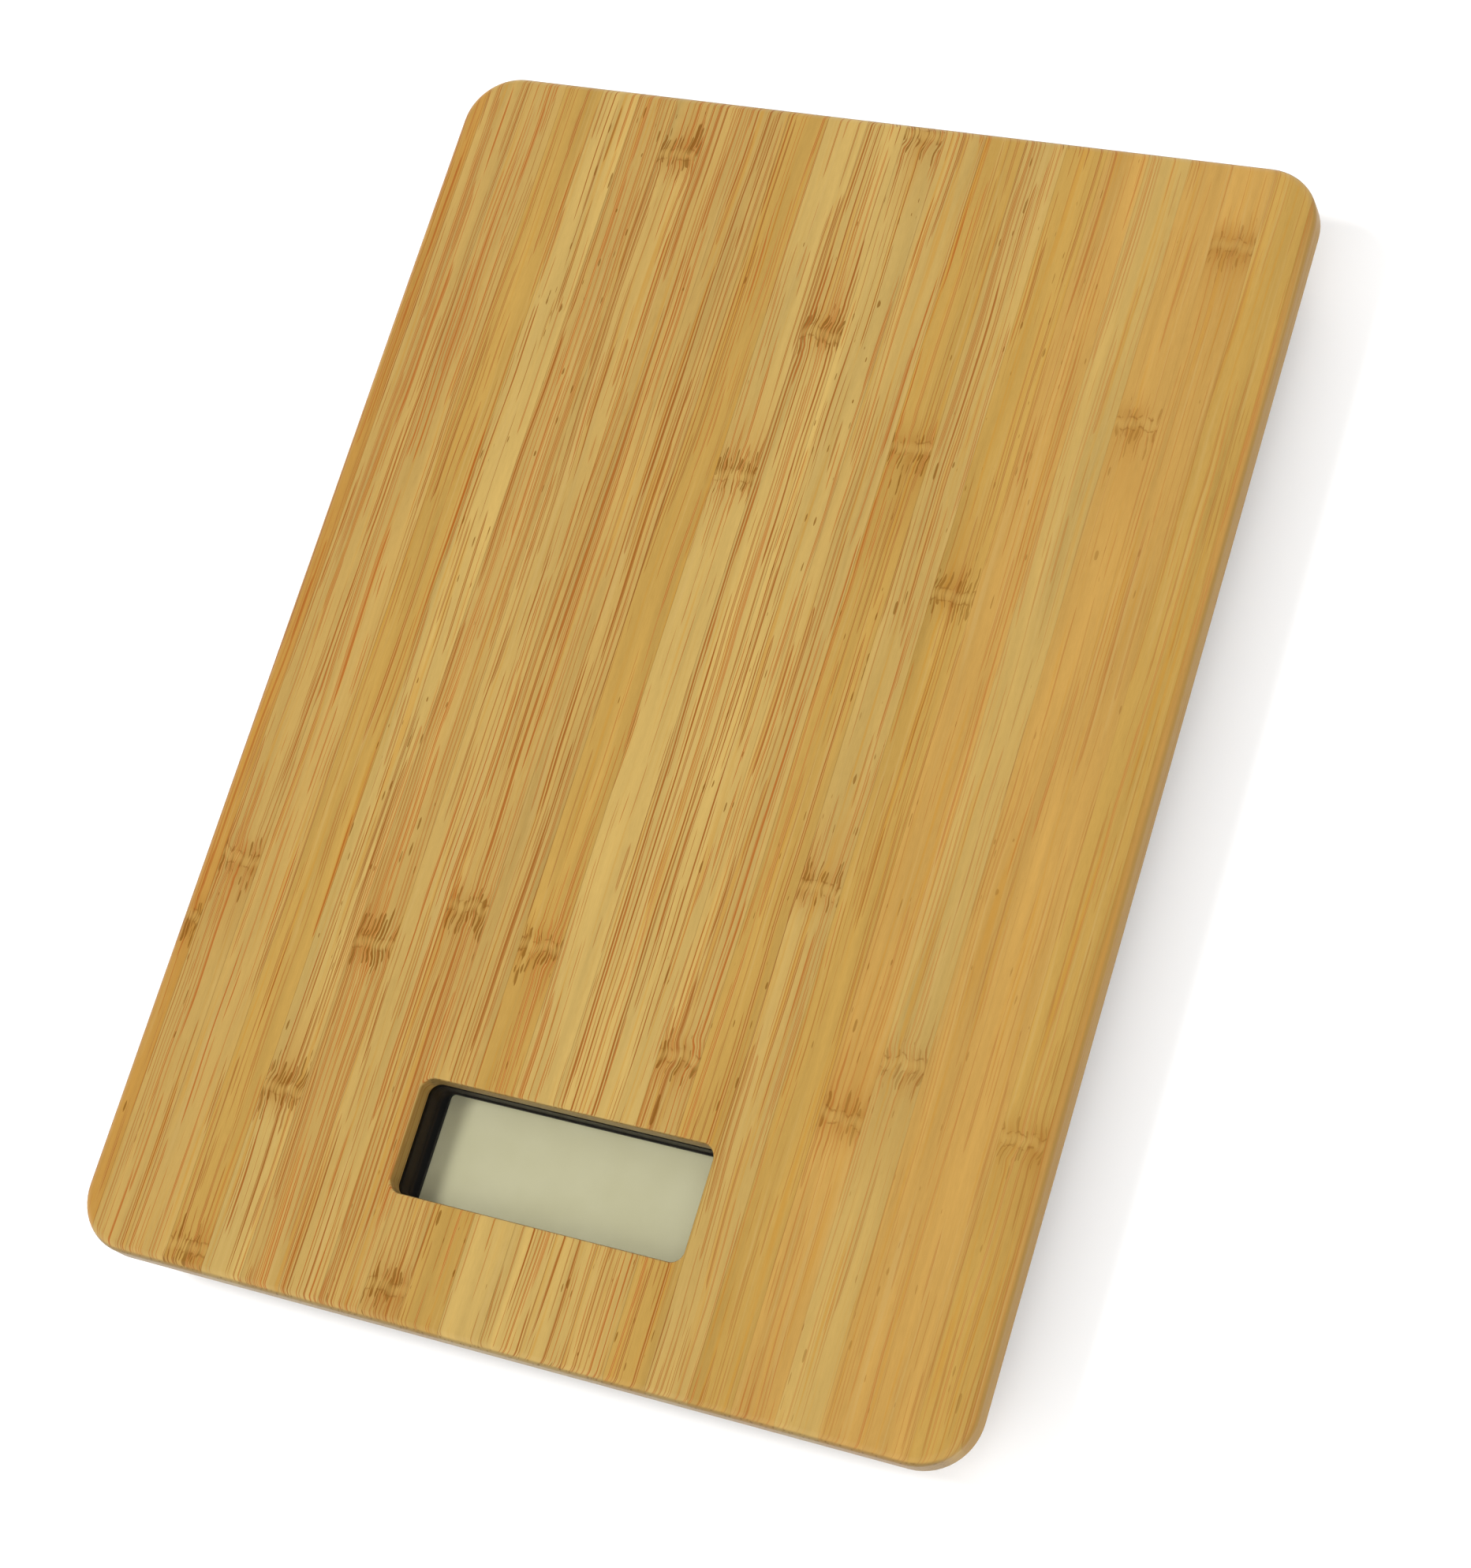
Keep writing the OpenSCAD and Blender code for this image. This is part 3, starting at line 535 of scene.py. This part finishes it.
def clear(name, tint, roughness=0.02):
    """Clear sheet that shows what is behind it and mirrors by its angle."""
    shade = Shade(name)
    shade.tree.nodes.remove(shade.surface)
    through = shade.node("ShaderNodeBsdfTransparent")
    gloss = shade.node("ShaderNodeBsdfGlossy")
    fresnel = shade.node("ShaderNodeFresnel")
    blend = shade.node("ShaderNodeMixShader")
    smudge = shade.grain(9, detail=4.0)
    through.inputs["Color"].default_value = (*tint, 1)
    fresnel.inputs["IOR"].default_value = 1.49
    shade.feed(gloss.inputs["Roughness"], smudge.step(0.4, 0.8) * 0.06 + roughness)
    shade.link(fresnel.outputs[0], blend.inputs[0])
    shade.link(through.outputs[0], blend.inputs[1])
    shade.link(gloss.outputs[0], blend.inputs[2])
    shade.link(blend.outputs[0], shade.output.inputs["Surface"])
    return shade.material


def display_film():
    """Blank reflective display: cream grey, faintly mottled, under a satin polariser."""
    shade = Shade("display_film", roughness=0.38, coat_weight=0.3, coat_roughness=0.3)
    mottle = shade.grain(7, detail=2.0)
    fine = shade.grain(0.3)
    shade.paint(shade.mix(mottle.step(0.3, 0.7), (0.71, 0.665, 0.435), (0.74, 0.695, 0.465)),
                roughness=(fine - 0.5) * 0.1 + 0.36)
    shade.bump(fine, 0.0008)
    return shade.material


def circuit_board():
    """Green solder mask over copper tracks, with a woven glass texture."""
    shade = Shade("circuit_board", roughness=0.35, coat_weight=0.4, coat_roughness=0.1)
    x, y = shade.x, shade.y
    column, row = x / TRACK_PITCH, y / TRACK_PITCH
    laid_x = shade.random((x / 9).floor(), row.floor()).step(0.45, 0.46)
    laid_y = shade.random(column.floor(), (y / 7).floor()).step(0.55, 0.56)
    track = shade.math(
        "MAXIMUM", (row.fract() - 0.5).bell(0.16) * laid_x, (column.fract() - 0.5).bell(0.16) * laid_y)
    weave = shade.math("SINE", x * 9) * shade.math("SINE", y * 9)
    colour = shade.mix(track.step(0.1, 0.4), seen((22, 84, 52)), seen((46, 128, 78)))
    shade.paint(colour, roughness=weave * 0.05 + 0.35)
    shade.bump(track + weave * 0.1, 0.03)
    return shade.material


def gauge_film():
    """Orange film with the folded foil grid of a strain gauge."""
    shade = Shade("gauge_film", roughness=0.3, coat_weight=0.5)
    grid = shade.math("SINE", shade.x * (2 * math.pi / 0.35)).step(-0.1, 0.3)
    window = shade.noise(shade.x, shade.y, 0.0, detail=0.0).step(0.3, 0.32)
    shade.paint(shade.mix(grid * window, seen((196, 118, 40)), seen((178, 140, 96))))
    shade.bump(grid, 0.01)
    return shade.material


def silicone():
    """Zebra strip: thin dark conducting layers in pale pink silicone."""
    shade = Shade("silicone", roughness=0.6, subsurface_weight=0.1)
    layers = shade.math("SINE", shade.x * (2 * math.pi / 0.3)).step(0.1, 0.4)
    shade.paint(shade.mix(layers, seen((214, 150, 156)), seen((52, 46, 48))))
    shade.bump(layers, 0.01)
    return shade.material


def wire(name, colour):
    """Smooth plastic insulation."""
    shade = Shade(name, roughness=0.4, coat_weight=0.2)
    fine = shade.grain(0.4)
    shade.paint(shade.bright(seen(colour), fine * 0.2 + 0.9), roughness=fine * 0.15 + 0.32)
    shade.bump(fine, 0.01)
    return shade.material


MATERIALS = {
    "bamboo": lambda: Bamboo().material,
    "lens": lambda: clear("lens", (0.985, 0.99, 0.985)),
    "tape": lambda: moulded("tape", (16, 16, 17), roughness=0.7, texture=0.2),
    "frame_plastic": lambda: moulded("frame_plastic", (17, 15, 20), roughness=0.5, texture=0.3),
    "display_film": display_film,
    "display_glass": lambda: clear("display_glass", (0.93, 0.96, 0.94)),
    "display_foil": lambda: metal("display_foil", (206, 206, 200), roughness=0.35),
    "silicone": silicone,
    "circuit_board": circuit_board,
    "resin": lambda: moulded("resin", (18, 18, 19), roughness=0.35, texture=2.5, depth=0.03, coat=0.3),
    "ceramic": lambda: moulded("ceramic", (150, 112, 76), roughness=0.5, texture=0.3),
    "resistor": lambda: moulded("resistor", (26, 27, 30), roughness=0.35, texture=0.3),
    "tin": lambda: metal("tin", (196, 197, 196), roughness=0.28, brushed=(8, 1, 1)),
    "spring_steel": lambda: metal("spring_steel", (208, 190, 140), roughness=0.25),
    "screw_steel": lambda: metal("screw_steel", (196, 199, 204), roughness=0.3),
    "dome_steel": lambda: metal("dome_steel", (214, 214, 212), roughness=0.2),
    "button_plastic": lambda: moulded("button_plastic", (92, 93, 95), roughness=0.5),
    "base_plastic": lambda: moulded("base_plastic", (27, 27, 29), roughness=0.58, texture=0.45, depth=0.03),
    "holder_plastic": lambda: moulded("holder_plastic", (36, 36, 38), roughness=0.5),
    "coin_steel": lambda: metal("coin_steel", (214, 213, 210), roughness=0.25, brushed=(1, 6, 1)),
    "contact_metal": lambda: metal("contact_metal", (216, 212, 200), roughness=0.25),
    "wire_red": lambda: wire("wire_red", (178, 30, 28)),
    "wire_black": lambda: wire("wire_black", (28, 28, 29)),
    "wire_white": lambda: wire("wire_white", (222, 220, 214)),
    "door_plastic": lambda: moulded("door_plastic", (31, 31, 33), roughness=0.5, texture=0.4),
    "cell_steel": lambda: metal("cell_steel", (190, 193, 197), roughness=0.32, brushed=(1, 10, 1)),
    "gauge_film": gauge_film,
    "clamp_plastic": lambda: moulded("clamp_plastic", (222, 220, 212), roughness=0.45),
    "foot_plastic": lambda: moulded("foot_plastic", (34, 34, 36), roughness=0.5, texture=0.4),
    "foot_rubber": lambda: rubber("foot_rubber", (70, 70, 73)),
}


# Meshes ----------------------------------------------------------------------------


def new_piece(name, bm, slot_name, body, replaced, sharp_angle=SHARP_ANGLE):
    """Finishes a bmesh in metres as a piece that stands for CAD nodes."""
    bmesh.ops.remove_doubles(bm, verts=bm.verts, dist=1e-7)
    bmesh.ops.recalc_face_normals(bm, faces=bm.faces)
    mesh = bpy.data.meshes.new(name)
    bm.to_mesh(mesh)
    bm.free()
    piece = bpy.data.objects.new(name, mesh)
    bpy.context.scene.collection.objects.link(piece)
    mesh.materials.append(materials[slot_name])
    mesh.shade_smooth()
    mesh.set_sharp_from_angle(angle=math.radians(sharp_angle))
    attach(piece, body)
    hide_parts(replaced)
    return piece


def rounded_ring(bm, half_w, half_l, radius, z, centre_y=0.0, steps=14):
    """Vertices round a rounded rectangle, in millimetres, anticlockwise from its right side."""
    ring = []
    for quarter, (side_x, side_y) in enumerate(((1, 1), (-1, 1), (-1, -1), (1, -1))):
        for i in range(steps + 1):
            turn = math.radians(90 * (quarter + i / steps))
            ring.append(bm.verts.new(MM * Vector((
                side_x * (half_w - radius) + radius * math.cos(turn),
                side_y * (half_l - radius) + radius * math.sin(turn) + centre_y,
                z))))
    return ring


def bridge(bm, rings, closed=False):
    """Joins rings of equal count with four-sided faces, and the last to the first if closed."""
    pairs = list(zip(rings, rings[1:])) + ([(rings[-1], rings[0])] if closed else [])
    for lower, upper in pairs:
        for i in range(len(lower)):
            j = (i + 1) % len(lower)
            bm.faces.new((lower[i], lower[j], upper[j], upper[i]))


def quarter_arc(radius, steps):
    """(inset, drop) pairs down a rounded edge, from the flat top to the upright side."""
    return [
        (radius * (1 - math.sin(t)), radius * (1 - math.cos(t)))
        for t in (math.pi / 2 * i / steps for i in range(steps + 1))
    ]


def islands(node):
    """(lowest, highest corner) in millimetres of each separate solid of a CAD node, left to right."""
    bm = bmesh.new()
    bm.from_mesh(frame["nodes"][node].data)
    bmesh.ops.remove_doubles(bm, verts=bm.verts, dist=1e-6)
    bm.verts.ensure_lookup_table()
    todo, found = set(bm.verts), []
    while todo:
        front, group = [todo.pop()], []
        while front:
            vert = front.pop()
            group.append(vert.co / MM)
            for edge in vert.link_edges:
                other = edge.other_vert(vert)
                if other in todo:
                    todo.remove(other)
                    front.append(other)
        found.append(tuple(Vector(f(p[i] for p in group) for i in range(3)) for f in (min, max)))
    bm.free()
    return sorted(found, key=lambda corners: tuple(corners[0]))


def cut_holes(piece, holes):
    """Cuts blind round holes, each (x, y, diameter, bottom, top) in millimetres."""
    bm = bmesh.new()
    for x, y, diameter, bottom, top in holes:
        place = Matrix.Translation(MM * Vector((x, y, (bottom + top) / 2)))
        bmesh.ops.create_cone(
            bm, cap_ends=True, segments=32, radius1=diameter / 2 * MM, radius2=diameter / 2 * MM,
            depth=(top - bottom) * MM, matrix=place)
    mesh = bpy.data.meshes.new("hole_cutter")
    bm.to_mesh(mesh)
    bm.free()
    cutter = bpy.data.objects.new("hole_cutter", mesh)
    bpy.context.scene.collection.objects.link(cutter)
    modifier = piece.modifiers.new("holes", "BOOLEAN")
    modifier.object = cutter
    modifier.operation = "DIFFERENCE"
    modifier.solver = "EXACT"
    bpy.context.view_layer.update()
    whole = piece.evaluated_get(bpy.context.evaluated_depsgraph_get())
    cut = bpy.data.meshes.new_from_object(whole)
    piece.modifiers.clear()
    piece.data = cut
    bpy.data.objects.remove(cutter)


def board():
    """The bamboo board: rounded upper edge, window with a softened edge, lens rebate, screw holes."""
    low, high = (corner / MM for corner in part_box("platform_board"))
    lens_low, lens_high = (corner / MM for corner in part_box("window_lens"))
    half_w, half_l = high.x, high.y
    window_y = (lens_low.y + lens_high.y) / 2
    window = (lens_high.x - WINDOW_LAP[0], lens_high.y - window_y - WINDOW_LAP[1])
    rebate = (lens_high.x + REBATE_PLAY, lens_high.y - window_y + REBATE_PLAY)
    rebate_top = lens_high.z + TAPE_T

    bm = bmesh.new()
    rings = [rounded_ring(bm, half_w, half_l, BOARD_CORNER_R, low.z)]
    for inset, drop in reversed(quarter_arc(BOARD_EDGE_R, 10)):
        rings.append(rounded_ring(
            bm, half_w - inset, half_l - inset, BOARD_CORNER_R - inset, high.z - drop))
    for inset, drop in quarter_arc(WINDOW_EDGE_R, 5):
        rings.append(rounded_ring(
            bm, window[0] + inset, window[1] + inset, WINDOW_R + inset, high.z - drop, window_y))
    rings.append(rounded_ring(bm, *window, WINDOW_R, rebate_top, window_y))
    rings.append(rounded_ring(bm, *rebate, REBATE_R, rebate_top, window_y))
    rings.append(rounded_ring(bm, *rebate, REBATE_R, low.z, window_y))
    bridge(bm, rings, closed=True)
    piece = new_piece("bamboo_board", bm, "bamboo", "platform", "platform_board")

    holes = []
    for node, diameter in BLIND_HOLES:
        for start, end in islands(node):
            middle = (start + end) / 2
            holes.append((middle.x, middle.y, diameter, low.z - 1, end.z + HOLE_PLAY))
    cut_holes(piece, holes)
    piece.data.set_sharp_from_angle(angle=math.radians(SHARP_ANGLE))


def lens():
    """The clear lens, with fine bevels that catch the light."""
    low, high = (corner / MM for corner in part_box("window_lens"))
    centre_y = (low.y + high.y) / 2
    half = (high.x, high.y - centre_y)
    bm = bmesh.new()
    rings = [
        rounded_ring(bm, half[0] - inset, half[1] - inset, REBATE_R - inset, z, centre_y)
        for inset, z in (
            (LENS_BEVEL, low.z), (0, low.z + LENS_BEVEL), (0, high.z - LENS_BEVEL), (LENS_BEVEL, high.z))
    ]
    bridge(bm, rings)
    bm.faces.new(reversed(rings[0]))
    bm.faces.new(rings[-1])
    new_piece("clear_lens", bm, "lens", "platform", "window_lens", sharp_angle=20)


def lathe(name, profile, centre, slot_name, body, replaced, steps=64):
    """Solid turned about a vertical axis; profile is (radius, z) pairs in millimetres from the
    axis at the bottom to the axis at the top."""
    bm = bmesh.new()
    rings = []
    for radius, z in profile[1:-1]:
        rings.append([
            bm.verts.new(MM * Vector((
                centre.x + radius * math.cos(2 * math.pi * i / steps),
                centre.y + radius * math.sin(2 * math.pi * i / steps), z)))
            for i in range(steps)
        ])
    bridge(bm, rings)
    for (_, z), ring in ((profile[0], rings[0]), (profile[-1], rings[-1])):
        middle = bm.verts.new(MM * Vector((centre.x, centre.y, z)))
        for i in range(steps):
            bm.faces.new((ring[i], ring[(i + 1) % steps], middle))
    new_piece(name, bm, slot_name, body, replaced)


def foot(corner):
    """Sprung foot: a disc with a recess and a rounded rim, a stem, and a snap pin with its head."""
    low, high = (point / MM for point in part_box(f"foot_{corner}"))
    pad_low, pad_high = (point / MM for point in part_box(f"foot_pad_{corner}"))
    centre = (low + high) / 2
    rim, pad = high.x - centre.x, pad_high.x - centre.x
    turns = (math.pi / 2 * i / 5 for i in range(6))
    rim_arc = [(rim - FOOT_RIM_R * (1 - math.sin(t)), low.z + FOOT_RIM_R * (1 - math.cos(t)))
               for t in turns]
    profile = [
        (0, pad_high.z), (pad, pad_high.z), (pad, low.z + 0.1), (pad + 0.1, low.z),
        *rim_arc,
        (rim, FOOT_DISC_TOP - 0.5), (rim - 0.15, FOOT_DISC_TOP - 0.15), (rim - 0.5, FOOT_DISC_TOP),
        (FOOT_STEM_R + 0.5, FOOT_DISC_TOP), (FOOT_STEM_R + 0.1, FOOT_DISC_TOP + 0.12),
        (FOOT_STEM_R, FOOT_DISC_TOP + 0.5), (FOOT_STEM_R, FOOT_STEM_TOP - 0.15),
        (FOOT_STEM_R - 0.15, FOOT_STEM_TOP), (FOOT_PIN_R, FOOT_STEM_TOP),
        (FOOT_PIN_R, FOOT_PIN_END), (FOOT_HEAD_R, FOOT_PIN_END), (FOOT_HEAD_R, FOOT_PIN_END + 0.3),
        (FOOT_HEAD_R - 0.3, high.z - 0.15), (FOOT_PIN_R, high.z), (0, high.z),
    ]
    lathe(f"sprung_foot_{corner}", profile, centre, "foot_plastic",
          f"foot_{corner}_body", f"foot_{corner}")

    tread, groove = pad_low.z, pad_low.z + TREAD_DEPTH
    narrow, wide = TREAD_GROOVE
    profile = [(0, groove), (3.0, groove), (3.3, tread)]
    for radius in TREAD_GROOVES:
        profile += [(radius - wide, tread), (radius - narrow, groove),
                    (radius + narrow, groove), (radius + wide, tread)]
    profile += [(pad - 0.55, tread), (pad - 0.25, tread + 0.1), (pad - 0.05, groove),
                (pad - 0.02, pad_high.z), (0, pad_high.z)]
    lathe(f"rubber_pad_{corner}", profile, centre, "foot_rubber",
          f"foot_{corner}_body", f"foot_pad_{corner}")


def unit_button():
    """Small round button under the base: a dished face, a rounded rim, a flange and a nub."""
    low, high = (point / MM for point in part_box("unit_button"))
    centre = (low + high) / 2
    flange = high.x - centre.x
    flange_bottom, flange_top = BUTTON_FLANGE
    profile = [
        (0, low.z + 0.2), (1.6, low.z + 0.16), (2.8, low.z + 0.05), (3.3, low.z),
        (BUTTON_R - 0.25, low.z + 0.06), (BUTTON_R, low.z + 0.3), (BUTTON_R, flange_bottom),
        (flange, flange_bottom), (flange, flange_top),
        (BUTTON_NUB_R, flange_top), (BUTTON_NUB_R - 0.1, high.z), (0, high.z),
    ]
    lathe("unit_key", profile, centre, "button_plastic", "unit_button_body", "unit_button")


def dress_nodes():
    """Gives every CAD node the material of its slot in the record."""
    for part in frame["record"]["subparts"]:
        node = frame["nodes"][part["node"]]
        node.data.materials.clear()
        node.data.materials.append(materials[part["material_slot"]])


# Studio ----------------------------------------------------------------------------


def white_floor():
    """A plain floor just under the feet."""
    bm = bmesh.new()
    bmesh.ops.create_grid(bm, x_segments=12, y_segments=12, size=FLOOR_SIZE / 2,
                          matrix=Matrix.Translation((0, 0, cad_box[0].z - FLOOR_GAP)))
    mesh = bpy.data.meshes.new("floor")
    bm.to_mesh(mesh)
    bm.free()
    floor = bpy.data.objects.new("floor", mesh)
    bpy.context.scene.collection.objects.link(floor)
    shade = Shade("floor", roughness=0.9, specular_ior_level=0.1)
    shade.paint(shade.bright((0.96, 0.96, 0.96), shade.grain(400) * 0.04 + 0.98))
    mesh.materials.append(shade.material)


def surroundings():
    """White light from all round, but for the dark flag."""
    world = bpy.data.worlds.new("studio")
    bpy.context.scene.world = world
    world.use_nodes = True
    tree = world.node_tree
    background = tree.nodes["Background"]
    background.inputs["Strength"].default_value = WORLD_LIGHT
    direction = tree.nodes.new("ShaderNodeTexCoord")
    toward = tree.nodes.new("ShaderNodeVectorMath")
    toward.operation = "DOT_PRODUCT"
    toward.inputs[1].default_value = Vector(FLAG).normalized()
    fade = tree.nodes.new("ShaderNodeValToRGB")
    for element, (position, level) in zip(fade.color_ramp.elements, FLAG_FADE):
        element.position = position
        element.color = (level, level, level, 1)
    tree.links.new(direction.outputs["Generated"], toward.inputs[0])
    tree.links.new(toward.outputs["Value"], fade.inputs["Fac"])
    tree.links.new(fade.outputs["Color"], background.inputs["Color"])


def lamps():
    """Soft round lamps, left out of reflections, that face the middle of the floor."""
    for name, place, width, power in LIGHTS:
        light = bpy.data.lights.new(name, "AREA")
        light.shape = "DISK"
        light.size = width
        light.energy = power
        lamp = bpy.data.objects.new(name, light)
        lamp.location = place
        lamp.rotation_euler = (-Vector(place)).to_track_quat("-Z", "Y").to_euler()
        lamp.visible_glossy = False
        bpy.context.scene.collection.objects.link(lamp)


def camera():
    """The photograph's viewpoint, turned and rolled about a point on the board's top face."""
    a, e, r = (math.radians(v) for v in (AZIMUTH, ELEVATION, ROLL))
    back = Vector((math.sin(a) * math.cos(e), -math.cos(a) * math.cos(e), math.sin(e)))
    upright = (Vector((0, 0, 1)) - back.z * back).normalized()
    up = math.cos(r) * upright - math.sin(r) * upright.cross(back)
    right = up.cross(back)
    data = bpy.data.cameras.new("camera")
    data.lens = LENS_MM
    data.clip_start = 0.01
    data.clip_end = 20
    view = bpy.data.objects.new("camera", data)
    turn = Matrix((right, up, back)).transposed().to_4x4()
    aim = Vector((*AIM, cad_box[1].z))
    view.matrix_world = Matrix.Translation(aim + back * DISTANCE) @ turn
    bpy.context.scene.collection.objects.link(view)
    bpy.context.scene.camera = view


materials = {name: make() for name, make in MATERIALS.items()}
dress_nodes()
board()
lens()
for corner in CORNERS:
    foot(corner)
unit_button()
white_floor()
surroundings()
lamps()
camera()
bpy.context.scene.view_settings.view_transform = "Standard"
